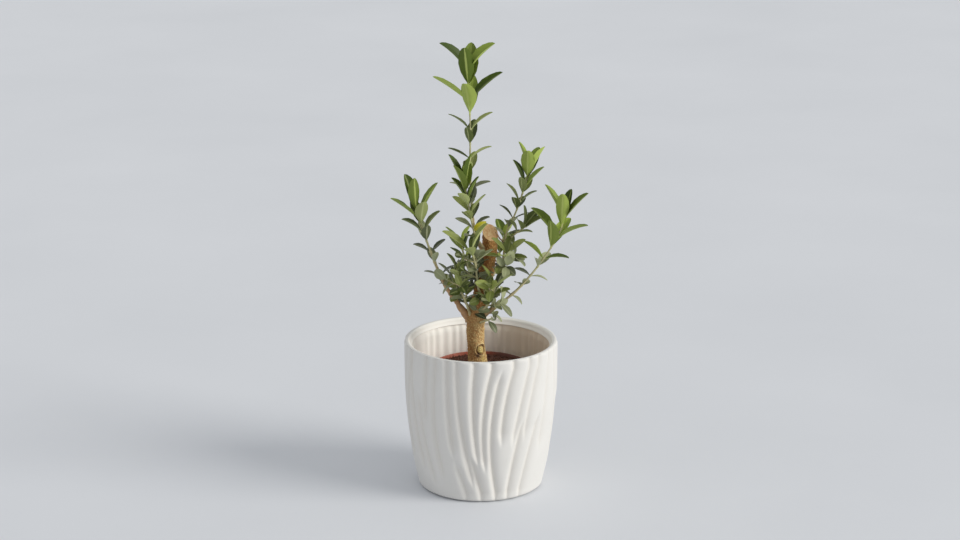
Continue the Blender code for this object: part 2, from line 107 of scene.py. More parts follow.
def turned_piece(name, outline, steps):
    """A body of revolution, its outline given as (radius, height) and drawn point by point."""
    bpy.ops.mesh.primitive_plane_add(size=MM)
    piece = bpy.context.active_object
    piece.name = name
    bpy.ops.object.mode_set(mode="EDIT")
    bpy.ops.mesh.merge(type="CENTER")
    bpy.ops.transform.translate(value=(outline[0][0], 0, outline[0][1]))
    for (radius, height), (next_radius, next_height) in zip(outline, outline[1:]):
        move = (next_radius - radius, 0, next_height - height)
        bpy.ops.mesh.extrude_region_move(TRANSFORM_OT_translate={"value": move})
    bpy.ops.mesh.select_all(action="SELECT")
    bpy.ops.mesh.spin(steps=steps, angle=math.tau, center=(0, 0, 0), axis=(0, 0, 1))
    bpy.ops.mesh.select_all(action="SELECT")
    bpy.ops.mesh.remove_doubles(threshold=0.01 * MM)
    bpy.ops.mesh.normals_make_consistent(inside=False)
    bpy.ops.object.mode_set(mode="OBJECT")
    bpy.ops.object.shade_smooth()
    return piece


def points_of(piece):
    places = np.empty(len(piece.data.vertices) * 3)
    piece.data.vertices.foreach_get("co", places)
    return places.reshape(-1, 3)


def place_points(piece, places):
    piece.data.vertices.foreach_set("co", places.ravel())
    piece.data.update()


def note(piece, name, values):
    """Stores a value for each point of a piece, for its material to read."""
    piece.data.attributes.new(name, "FLOAT", "POINT").data.foreach_set("value", values)


lip_centre = PLANTER_RADIUS - LIP_RADIUS
lip_height = PLANTER_HEIGHT - LIP_RADIUS
band_foot = PLANTER_HEIGHT - BAND_HEIGHT
band_radius = lip_centre - LIP_RADIUS - BAND_STEP
wall_radius = band_radius + UNDERCUT
wall_top = band_foot - 0.8 * MM
planter = turned_piece(
    "planter_relief",
    [
        # Underside, with a shallow recess inside the foot ring
        (0, 0),
        *((PLANTER_FOOT_RADIUS - inset * MM, height * MM) for inset, height in FOOT_RING),
        # Outside, then the round lip
        *((planter_radius(height), height) for height in evenly(FOOT_EDGE, lip_height, OUTSIDE_RINGS)[:-1]),
        *(
            (lip_centre + LIP_RADIUS * math.cos(turn), lip_height + LIP_RADIUS * math.sin(turn))
            for turn in evenly(0, math.pi, LIP_STEPS)
        ),
        # The lower edge of the inner band, the wall under it and the floor
        *((band_radius + out * MM, band_foot + up * MM) for out, up in BAND_EDGE),
        (wall_radius, wall_top),
        *(
            (min(wall_radius, planter_radius(height) - PLANTER_WALL), height)
            for height in evenly(wall_top, PLANTER_FLOOR, INSIDE_RINGS)[1:]
        ),
        (0, PLANTER_FLOOR),
    ],
    PLANTER_STEPS,
)

# Each crease: bearing at the rim, half way down and at the foot in degrees from the front toward
# the right, the heights where it starts and ends, and its depth.
FRONT_CREASES = [
    (-66, -61, -52, 134, 20, 2.3),
    (-55, -52, -43, 100, 8, 2.1),
    (-45, -47, -44, 134, 66, 2.5),
    (-36, -38, -31, 134, 16, 2.3),
    (-26, -24, -18, 134, 40, 2.6),
    (-18, -14.5, -5, 134, 12, 2.8),
    (-4.5, -5, 3, 134, 31, 3.1),
    (8.5, 1.5, 8, 134, 27, 3.1),
    (16.5, 8, 13.5, 128, 0, 3.1),
    (26, 16.5, 22, 134, 52, 3.0),
    (40, 27.5, 22, 134, 50, 2.5),
    (50, 32.5, 25, 82, 0, 2.7),
    (49.5, 37, 36, 134, 54, 2.4),
    (66, 47, 37.5, 84, 0, 2.3),
    (62, 55, 50, 134, 40, 1.7),
    (-16, -12, 0.5, 50, 0, 3.0),
    (-32, -26, -13, 44, 0, 2.2),
]
DEALT_OUT = (72, 304)
RIM_BEARING_AT = 125
FOOT_BEARING_AT = 10
FROM_RIM = 130
DEEPEST = 3.3 * MM
STEEP_SIDE = 2.7 * MM
GENTLE_SIDE = 3.7 * MM
RIM_FADE = 3.0
CREASE_FADE = 17.0
NARROWEST = 0.4
FOOT_FADE = 13.0
FLUTES = 42
FLUTE_DEPTH = 0.95 * MM
FLUTE_CHANGE = 0.35 * MM
FLUTE_FADE = 4 * MM
INNER_SHADE_MIDDLE = 0.33
INNER_SHADE_RISE = 0.75
INNER_SHADE_REACH = 38 * MM


def crease_list():
    """The front creases, then the same kind dealt out round the sides and the back."""
    dice = random.Random("planter")
    creases = list(FRONT_CREASES)
    bearing, end = DEALT_OUT
    while bearing < end:
        lean = 9 * math.sin(math.radians(bearing * 2.1)) + dice.uniform(-3, 3)
        top = dice.choice((134, 134, 124, 92))
        bottom = dice.choice((0, 0, 24, 48))
        creases.append((bearing, bearing + lean, bearing + lean * 0.4, top, bottom, dice.uniform(1.6, 2.9)))
        bearing += dice.uniform(8, 15)
    return creases


def pressed_in(bearings, heights, radii):
    """How far the creases sink the outside at each point: steep on the left, gentle on the right."""
    left = np.ones_like(bearings)
    level = heights / MM
    for rim, middle, foot, top, bottom, depth in crease_list():
        share = np.clip((RIM_BEARING_AT - level) / (RIM_BEARING_AT - FOOT_BEARING_AT), 0, 1)
        centre = rim + (4 * middle - 3 * rim - foot) * share + 2 * (rim + foot - 2 * middle) * share**2
        fade = np.clip((top - level) / (RIM_FADE if top > FROM_RIM else CREASE_FADE), 0, 1)
        if bottom > 0:
            fade = fade * np.clip((level - bottom) / CREASE_FADE, 0, 1)
        fade = fade * fade * (3 - 2 * fade) * np.clip(0.3 + level / FOOT_FADE, 0, 1)
        width = NARROWEST + (1 - NARROWEST) * (fade if top <= FROM_RIM or bottom > 0 else 1)
        away = np.radians((bearings - centre + 180) % 360 - 180) * radii / width
        left_wall = np.exp(-((np.clip(-away, 0, None) / STEEP_SIDE) ** 1.8))
        right_wall = np.exp(-((np.clip(away, 0, None) / GENTLE_SIDE) ** 1.15))
        left *= 1 - depth * MM / DEEPEST * fade * left_wall * right_wall
    return DEEPEST * (1 - left)


places = points_of(planter)
heights = places[:, 2]
radii = np.hypot(places[:, 0], places[:, 1])
bearings = np.degrees(np.arctan2(places[:, 0], -places[:, 1]))
body_radii = np.array([planter_radius(height) for height in heights])
outside = (radii > body_radii - 1.0 * MM) & (heights > 0.2 * MM) & (heights < PLANTER_HEIGHT - 0.1 * MM)
under_band = heights < band_foot - 0.6 * MM
inside = (radii < body_radii - 5 * MM) & (radii > 40 * MM) & (heights > 10 * MM) & under_band
rim_band = (radii < body_radii - 4 * MM) & ~under_band
warp = bearings + 2.5 * np.sin(np.radians(bearings * 5 + 40)) + 1.5 * np.sin(np.radians(bearings * 11))
flute = (FLUTE_DEPTH + FLUTE_CHANGE * np.sin(np.radians(bearings * 7))) * np.sin(np.radians(warp) * FLUTES / 2) ** 2
sunk = np.where(outside, pressed_in(bearings, heights, radii), 0)
sunk = np.where(inside, flute * np.clip((band_foot - heights) / FLUTE_FADE, 0.2, 1), sunk)
places[:, :2] *= ((radii - sunk) / np.maximum(radii, MM))[:, None]
place_points(planter, places)
# How deep each point is pressed in, which the material uses to paint shade into the creases and flutes.
note(planter, "pressed", np.clip(sunk / DEEPEST, 0, 1))
note(planter, "inner_side", (inside | rim_band).astype(float))
# Painted shade: the inside wall turns darker and warmer toward the right, the side that faces away from the key light.
painted_inner_shade = np.clip(INNER_SHADE_MIDDLE + INNER_SHADE_RISE * places[:, 0] / INNER_SHADE_REACH, 0, 1)
note(planter, "painted_inner_shade", np.where(inside, painted_inner_shade, 0))
bpy.ops.object.shade_smooth_by_angle(angle=math.radians(50))


def add_node(tree, kind, inputs=(), **settings):
    """Adds a node with its settings; each input is given a value, or an output to be linked to."""
    node = tree.nodes.new("ShaderNode" + kind)
    for name, value in settings.items():
        setattr(node, name, value)
    for name, value in dict(inputs).items():
        if isinstance(value, bpy.types.NodeSocket):
            tree.links.new(value, node.inputs[name])
        else:
            node.inputs[name].default_value = value
    return node


def maths(tree, operation, *values):
    return add_node(tree, "Math", dict(enumerate(values)), operation=operation).outputs["Value"]


def mix_colours(tree, share, below, above, blend="MIX"):
    inputs = {"Factor": share, "A": below, "B": above}
    return add_node(tree, "Mix", inputs, data_type="RGBA", blend_type=blend)


def grain_group():
    """Fine grain for any finish: a height to bump with and a mottle to tint with."""
    group = bpy.data.node_groups.new("surface grain", "ShaderNodeTree")
    for size, value, output in (("Grain Size", 900, "Height"), ("Mottle Size", 60, "Mottle")):
        group.interface.new_socket(size, in_out="INPUT", socket_type="NodeSocketFloat").default_value = value
        group.interface.new_socket(output, in_out="OUTPUT", socket_type="NodeSocketFloat")
    given, result = group.nodes.new("NodeGroupInput"), group.nodes.new("NodeGroupOutput")
    where = add_node(group, "TexCoord").outputs["Object"]
    for size, output, detail in (("Grain Size", "Height", 3), ("Mottle Size", "Mottle", 4)):
        grain = add_node(group, "TexNoise", {"Vector": where, "Scale": given.outputs[size], "Detail": detail})
        group.links.new(grain.outputs["Fac"], result.inputs[output])
    return group


surface_grain = grain_group()


def shader_socket(material, name):
    return material.node_tree.nodes["Principled BSDF"].inputs[name]


def what_feeds(socket):
    return socket.links[0].from_socket


def finish_material(name, dark, light, roughness, grain_size, mottle_size, bump, relief):
    """A material whose colour runs from dark to light with the mottle and whose grain bumps it."""
    material = bpy.data.materials.new(name)
    material.use_nodes = True
    tree = material.node_tree
    grain_sizes = {"Grain Size": grain_size, "Mottle Size": mottle_size}
    grain = add_node(tree, "Group", grain_sizes, node_tree=surface_grain)
    tint = mix_colours(tree, grain.outputs["Mottle"], (*dark, 1), (*light, 1))
    height = add_node(tree, "Bump", {"Strength": bump, "Distance": relief, "Height": grain.outputs["Height"]})
    tree.links.new(tint.outputs["Result"], shader_socket(material, "Base Color"))
    tree.links.new(height.outputs["Normal"], shader_socket(material, "Normal"))
    shader_socket(material, "Roughness").default_value = roughness
    return material, tint


def share_of(material, attribute, most=1):
    """What the points of a piece have noted, from 0 up to most."""
    noted = add_node(material.node_tree, "Attribute", attribute_name=attribute).outputs["Fac"]
    return maths(material.node_tree, "MULTIPLY", noted, most)


def lay_colour(material, share, colour, blend="MIX"):
    """Lays a colour over what a material shows so far, as strongly as the share says."""
    shown = shader_socket(material, "Base Color")
    laid = mix_colours(material.node_tree, share, what_feeds(shown), (*colour, 1), blend)
    material.node_tree.links.new(laid.outputs["Result"], shown)


ceramic, _ = finish_material(
    "white bisque", (0.715, 0.702, 0.67), (0.775, 0.762, 0.733),
    roughness=0.62, grain_size=1400, mottle_size=35, bump=0.25, relief=0.05 * MM,
)
# Painted shade: a darker, warmer colour in the creases and inside flutes, as deep as they are pressed in.
lay_colour(ceramic, share_of(ceramic, "pressed", most=0.35), (0.66, 0.60, 0.51))
# Painted light: the inside wall and the inner band under the lip are paler, standing in for the key light that falls
# into the mouth.
lay_colour(ceramic, share_of(ceramic, "inner_side"), (0.955, 0.935, 0.885))
# Painted shade on the inside wall, darker and warmer toward the right, away from the key light.
lay_colour(ceramic, share_of(ceramic, "painted_inner_shade"), (0.77, 0.655, 0.52))
planter.data.materials.append(ceramic)
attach(planter, "root")
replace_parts(planter, "planter")

# ----------------------------------------
# Nursery pot: a thin growing pot moulded in terracotta-coloured plastic, with a rolled band round
# its rim that it is lifted and stacked by. It stands loose on the planter's floor.
NURSERY_BASE = PLANTER_FLOOR + 0.3 * MM
NURSERY_RIM_HEIGHT = 106.5 * MM
NURSERY_RIM_RADIUS = 45 * MM
NURSERY_BAND = 9 * MM
NURSERY_WALL = 1.4 * MM
NURSERY_LIP = ((0, 0.7), (0.25, 0.2), (0.7, 0), (1.15, 0.2))
NURSERY_TAPER = (32 * MM, 43 * MM)
TAPER_RINGS = 10
NURSERY_STEPS = 144
RIM_SHADE_FROM = (2 * MM, 16 * MM)
band_height = NURSERY_RIM_HEIGHT - NURSERY_BAND
taper_foot = NURSERY_BASE + 1.5 * MM
taper = zip(evenly(*NURSERY_TAPER, TAPER_RINGS), evenly(taper_foot, band_height, TAPER_RINGS))
nursery_pot = turned_piece(
    "nursery_pot_shell",
    [
        (0, NURSERY_BASE),
        (30.5 * MM, NURSERY_BASE),
        *taper,
        (NURSERY_RIM_RADIUS - 0.5 * MM, band_height),
        (NURSERY_RIM_RADIUS, band_height + 0.5 * MM),
        *((NURSERY_RIM_RADIUS - inset * MM, NURSERY_RIM_HEIGHT - below * MM) for inset, below in NURSERY_LIP),
        (NURSERY_RIM_RADIUS - NURSERY_WALL, NURSERY_RIM_HEIGHT - 0.7 * MM),
        (30.6 * MM, NURSERY_BASE + NURSERY_WALL),
        (0, NURSERY_BASE + NURSERY_WALL),
    ],
    NURSERY_STEPS,
)
bpy.ops.object.shade_smooth_by_angle(angle=math.radians(40))
terracotta, _ = finish_material(
    "terracotta plastic", (0.29, 0.055, 0.025), (0.40, 0.09, 0.04),
    roughness=0.48, grain_size=700, mottle_size=90, bump=0.3, relief=0.08 * MM,
)


def share_along(material, axis, places, most):
    """A share that grows from 0 to most between two places along an axis of the piece."""
    where = add_node(material.node_tree, "TexCoord").outputs["Object"]
    along = add_node(material.node_tree, "SeparateXYZ", {"Vector": where}).outputs[axis]
    span = {"Value": along, "From Min": places[0], "From Max": places[1], "To Max": most}
    return add_node(material.node_tree, "MapRange", span).outputs["Result"]


# Painted shade: the rim darkens toward the right, where the planter's wall shades it.
lay_colour(terracotta, share_along(terracotta, "X", RIM_SHADE_FROM, most=0.85), (0.085, 0.030, 0.018))
nursery_pot.data.materials.append(terracotta)
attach(nursery_pot, "root")
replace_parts(nursery_pot, "nursery_pot")

# ----------------------------------------
# Compost: dark reddish-brown peat and bark fines filling the pot, its top uneven and a little
# heaped round the trunk, with loose crumbs and fibres lying on it.
SOIL_TOP = 104.3 * MM
SOIL_RADIUS = 42.6 * MM
SOIL_RINGS = 60
SOIL_STEPS = 200
TRUNK_FOOT_X = -2 * MM
HEAP = 1.6 * MM
HEAP_REACH = 13 * MM
CRUMBS = 1500
CRUMB_LARGEST = 1.7 * MM
CLEAR_OF_TRUNK = 10.5 * MM
compost = turned_piece(
    "compost_bed",
    [
        (0, NURSERY_BASE + 2.2 * MM),
        (30 * MM, NURSERY_BASE + 2.2 * MM),
        (SOIL_RADIUS - 0.4 * MM, SOIL_TOP - 1.2 * MM),
        *((SOIL_RADIUS * (SOIL_RINGS - ring) / SOIL_RINGS, SOIL_TOP) for ring in range(SOIL_RINGS + 1)),
    ],
    SOIL_STEPS,
)


def bell(away, reach):
    """1 in the middle of something, and fading to 0 beyond its reach."""
    return math.exp(-((away / reach) ** 2))


def heaped(x, y):
    """How high the compost is heaped round the foot of the trunk."""
    return HEAP * bell(math.hypot(x - TRUNK_FOOT_X, y), HEAP_REACH)


places = points_of(compost)
for index, (x, y, z) in enumerate(places):
    if z < SOIL_TOP - 0.1 * MM:
        continue
    lumps = noise.fractal((x * 160, y * 160, 3.1), 0.7, 2.2, 4) * 0.8 + noise.noise((x * 620, y * 620, 7)) * 0.5
    rim_dip = 6 * max(math.hypot(x, y) / SOIL_RADIUS - 0.9, 0)
    places[index, 2] = z + (lumps * 0.9 - rim_dip) * MM + heaped(x, y)
place_points(compost, places)
crumb_dice = random.Random("compost crumbs")
corners, crumb_faces = [], []
for _ in range(CRUMBS):
    distance = SOIL_RADIUS * 0.97 * math.sqrt(crumb_dice.random())
    turn = crumb_dice.uniform(0, math.tau)
    x, y = distance * math.cos(turn), distance * math.sin(turn)
    if math.hypot(x - TRUNK_FOOT_X, y) < CLEAR_OF_TRUNK:
        continue
    size = crumb_dice.uniform(0.3, 1.0) ** 2 * CRUMB_LARGEST
    stretch = crumb_dice.choice((1, 1, 1.4, 3.2))
    spin = Euler([crumb_dice.uniform(0, math.tau) for _ in range(3)]).to_matrix()
    centre = Vector((x, y, SOIL_TOP + heaped(x, y) + 0.4 * MM))
    first = len(corners)
    for a, b, c in ((1, 0, 0), (-1, 0, 0), (0, 1, 0), (0, -1, 0), (0, 0, 1), (0, 0, -1)):
        reach = size * crumb_dice.uniform(0.6, 1.1) / math.sqrt(stretch)
        corners.append(centre + spin @ Vector((a * reach * stretch, b * reach, c * reach)))
    for a in (0, 1):
        for b, c in ((2, 4), (4, 3), (3, 5), (5, 2)):
            face = (a, b, c) if a == 0 else (a, c, b)
            crumb_faces.append([first + corner for corner in face])


def joined_piece(name, corners, faces):
    """One piece from many small shapes that are joined."""
    mesh = bpy.data.meshes.new(name)
    mesh.from_pydata(corners, [], faces)
    piece = bpy.data.objects.new(name, mesh)
    bpy.context.scene.collection.objects.link(piece)
    return piece


crumbs = joined_piece("compost_crumbs", corners, crumb_faces)
peat, _ = finish_material(
    "peat", (0.035, 0.014, 0.009), (0.17, 0.062, 0.035),
    roughness=0.95, grain_size=1100, mottle_size=420, bump=0.9, relief=0.5 * MM,
)
for piece in (compost, crumbs):
    piece.data.materials.append(peat)
    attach(piece, "root")
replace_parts(compost, "soil")

# ----------------------------------------
# Trunk: the thick old stem, cut back hard. It flares at the roots, thickens where the boughs
# fork, leans to the right and ends in a slanting saw cut. The bark is thin, ochre and pimpled,
# with a ringed scar low down in front where a branch was pruned.
TRUNK_BENDS = ((-2, 0, 104.6), (-4.5, 0, 145), (2, 1, 180), (7.5, 2, 210), (8.3, 2, 229))
TRUNK_RADII = (8.3 * MM, 6.6 * MM)
TRUNK_FLARE = 2.5 * MM
TRUNK_FLARE_REACH = 4 * MM
ROOTS = 5
ROOT_BULGE = 0.12
ROOT_REACH = 7 * MM
FORK_HEIGHT = 157 * MM
FORK_SWELLING = 1.4 * MM
FORK_REACH = 9 * MM
CUT_SLOPE = (-0.25, 0.84)
STATION = 6 * MM
CURVE_STEPS = 12
TRUNK_SIDES = 128
TRUNK_ROWS = 240
CUT_RINGS = 9
CUT_REACH = 14 * MM
CUT_DEPTH = 8 * MM
SCAR = Vector((0.7, -7.2, 124.5)) * MM
SCAR_RADIUS = 5.5 * MM
SCAR_GROOVE = 0.79
SCAR_SPLIT = SCAR + Vector((-3.2, 0.3, -5.0)) * MM
SPLIT_RADIUS = 2.1 * MM
FRESH_PATCH = SCAR + Vector((3.2, 0, -8.5)) * MM
FRESH_RADIUS = 3.2 * MM
FORK_REDDENING = (148 * MM, 172 * MM)
BARK_LAYERS = (
    ("shade_side", (0.54, 0.42, 0.29), "MULTIPLY"),
    ("fresh_bark", (0.58, 0.49, 0.12), "MIX"),
    # The scar layer: partly the wound's own dark wood, partly painted shade in its groove and split.
    ("scar", (0.085, 0.04, 0.018), "MIX"),
)


def walk(path, distance):
    """The point at a distance along a path, which runs straight on past its last point."""
    for a, b in zip(path, path[1:]):
        run = (b - a).length
        if distance <= run or b is path[-1]:
            return a.lerp(b, distance / run)
        distance -= run


def path_length(path):
    return sum((b - a).length for a, b in zip(path, path[1:]))


def smooth_path(points):
    """A Catmull-Rom curve through the points, resampled at about one station apart."""
    ends = [points[0] * 2 - points[1], *points, points[-1] * 2 - points[-2]]
    fine = []
    for a, b, c, d in zip(ends, ends[1:], ends[2:], ends[3:]):
        for step in range(CURVE_STEPS):
            t = step / CURVE_STEPS
            fine.append((b * 2 + (c - a) * t + (a * 2 - b * 5 + c * 4 - d) * t**2 + (b * 3 - a - c * 3 + d) * t**3) / 2)
    fine.append(points[-1])
    length = path_length(fine)
    count = max(round(length / STATION), 2)
    return [walk(fine, distance) for distance in evenly(0, length, count)]


def part_way(ends, share):
    return ends[0] + (ends[1] - ends[0]) * share


def trunk_ring(height):
    """Centre and radius of the trunk at a height: a taper, the root flare and the fork's swelling."""
    foot, top = trunk_path[0].z, trunk_path[-1].z
    share = (height - foot) / (top - foot)
    radius = part_way(TRUNK_RADII, share)
    radius += TRUNK_FLARE * math.exp((foot - height) / TRUNK_FLARE_REACH)
    radius += FORK_SWELLING * bell(height - FORK_HEIGHT, FORK_REACH)
    for low, high in zip(trunk_path, trunk_path[1:]):
        if height <= high.z or high is trunk_path[-1]:
            return low.lerp(high, (height - low.z) / (high.z - low.z)), radius


def from_scar(point):
    """Distance from the pruning scar's middle, as a share of its radius; the ring is a bit uneven."""
    return (point - SCAR).length / SCAR_RADIUS + 0.16 * noise.noise(point * 260)


def near(point, middle, radius):
    """1 at a place on the bark, and fading to 0 beyond the radius."""
    return bell((point - middle).length, radius)


def bark_relief(point):
    """How far the bark stands out: long swells, ridges, pimples and the ringed pruning scar."""
    swell = noise.noise(point * 90) * 0.5
    ridges = noise.noise(Vector((point.x * 420, point.y * 420, point.z * 110))) * 0.3
    squashed = Vector((point.x, point.y, point.z * 0.7))
    pimples = max(0.55 - noise.voronoi(squashed * 640)[0][0], 0) * 1.5
    away = from_scar(point)
    scar = 0
    if away < 2:
        scar = 0.8 * bell(away - 1, 0.17) - 1.1 * bell(away - SCAR_GROOVE, 0.1)
        scar += 0.6 * math.exp(-((away / 0.55) ** 4)) - 1.1 * near(point, SCAR_SPLIT, SPLIT_RADIUS)
        pimples *= 0.4
    return swell + ridges + pimples + scar


trunk_path = smooth_path([Vector(bend) * MM for bend in TRUNK_BENDS])
trunk_foot_height = trunk_path[0].z
trunk_top = trunk_path[-1].z
trunk_bottom = trunk_foot_height - 2 * MM
blank_radius = 10 * MM
trunk = turned_piece(
    "trunk_bark",
    [(0, trunk_bottom), *((blank_radius, height) for height in evenly(trunk_bottom, trunk_top, TRUNK_ROWS))]
    + [(blank_radius * (1 - ring / CUT_RINGS), trunk_top) for ring in range(1, CUT_RINGS + 1)],
    TRUNK_SIDES,
)
places = points_of(trunk)
relief, scar_dark_and_shade, fresh, shade_side = np.zeros((4, len(places)))
for index, (x, y, height) in enumerate(places):
    across = math.hypot(x, y) / blank_radius
    out = Vector((x, y, 0)).normalized() if across > 0 else Vector((0, 0, 0))
    turn = math.atan2(y, x)
    centre, radius = trunk_ring(max(height, trunk_foot_height))
    roots = 1 + ROOT_BULGE * math.sin(turn * ROOTS + 1) * math.exp((trunk_foot_height - height) / ROOT_REACH)
    point = Vector((centre.x, centre.y, height)) + out * radius * roots * across
    tilt = max((height - trunk_top + CUT_REACH) / CUT_REACH, 0)
    point.z += tilt * radius * across * (CUT_SLOPE[0] * out.x + CUT_SLOPE[1] * out.y)
    stand = bark_relief(point)
    if across < 0.99:
        grain = 0.09 * math.sin(across * 34) + 0.10 * noise.noise(point * 700)
        point.z += (grain - 0.35 * (1 - across) ** 0.5) * MM
    else:
        point += out * (stand - 0.45) * MM * min(1, (trunk_top - height) / (2 * MM))
    places[index] = point
    relief[index] = stand
    away = from_scar(point)
    split = near(point, SCAR_SPLIT, SPLIT_RADIUS)
    # The scar's groove and split are coloured dark: partly the wound's own dark wood, partly painted shade in these
    # hollows.
    scar_dark_and_shade[index] = 0.8 * bell(away - SCAR_GROOVE, 0.09) + 1.1 * split
    fresh[index] = 0.4 * (away < 0.7) + 0.65 * near(point, FRESH_PATCH, FRESH_RADIUS)
    shade_side[index] = min(max(0.5 - 1.05 * out.x, 0), 0.88)
place_points(trunk, places)
note(trunk, "relief", np.clip(relief * 1.3 + 0.32, 0, 1))
note(trunk, "scar", np.clip(scar_dark_and_shade, 0, 1))
note(trunk, "fresh_bark", fresh)
note(trunk, "shade_side", shade_side)


def tint_by(material, tint, share, weight):
    """Lets a share lighten the tint too, beside the mottle that is there."""
    factor = tint.inputs["Factor"]
    inputs = {"Factor": weight, "A": what_feeds(factor), "B": share}
    material.node_tree.links.new(add_node(material.node_tree, "Mix", inputs).outputs["Result"], factor)


def raise_by(material, share, standing):
    """Lets a share stand out in the bump too, on top of the grain that is there."""
    height = what_feeds(shader_socket(material, "Normal")).node.inputs["Height"]
    raised = maths(material.node_tree, "MULTIPLY_ADD", share, standing, what_feeds(height))
    material.node_tree.links.new(raised, height)


def bark_pimples(material, size):
    """Pimples about a millimetre across: 1 on top of each, 0 in the gaps between them."""
    tree = material.node_tree
    where = add_node(tree, "TexCoord").outputs["Object"]
    squashed = add_node(tree, "Mapping", {"Vector": where, "Scale": (1, 1, 0.75)}).outputs["Vector"]
    cells = add_node(tree, "TexVoronoi", {"Vector": squashed, "Scale": size}).outputs["Distance"]
    dome = {"Value": cells, "From Min": 0.62, "From Max": 0.18}
    return add_node(tree, "MapRange", dome, interpolation_type="SMOOTHSTEP").outputs["Result"]


bark, bark_tint = finish_material(
    "ochre bark", (0.42, 0.175, 0.037), (1.0, 0.84, 0.42),
    roughness=0.7, grain_size=1500, mottle_size=240, bump=0.9, relief=0.4 * MM,
)
# The bark is tinted darker in its hollows and in the gaps between the pimples and lighter where it stands out: partly
# its own colour, partly painted shade.
tint_by(bark, bark_tint, share_of(bark, "relief"), weight=0.55)
pimples = bark_pimples(bark, size=760)
tint_by(bark, bark_tint, pimples, weight=0.42)
raise_by(bark, pimples, standing=1.1)
lay_colour(bark, share_along(bark, "Z", FORK_REDDENING, most=0.85), (1.0, 0.72, 0.50), "MULTIPLY")
for attribute, colour, blend in BARK_LAYERS:
    lay_colour(bark, share_of(bark, attribute), colour, blend)
sawn_wood, sawn_tint = finish_material(
    "sawn olive wood", (0.66, 0.28, 0.085), (1.0, 0.80, 0.46),
    roughness=0.8, grain_size=1800, mottle_size=420, bump=0.6, relief=0.2 * MM,
)
tint_by(sawn_wood, sawn_tint, share_of(sawn_wood, "relief"), weight=0.5)
trunk.data.materials.append(bark)
trunk.data.materials.append(sawn_wood)
for face in trunk.data.polygons:
    if face.normal.z > 0.6 and face.center.z > trunk_top - CUT_DEPTH:
        face.material_index = 1
bpy.ops.object.shade_smooth_by_angle(angle=math.radians(50))
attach(trunk, "root")
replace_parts(trunk, "trunk")

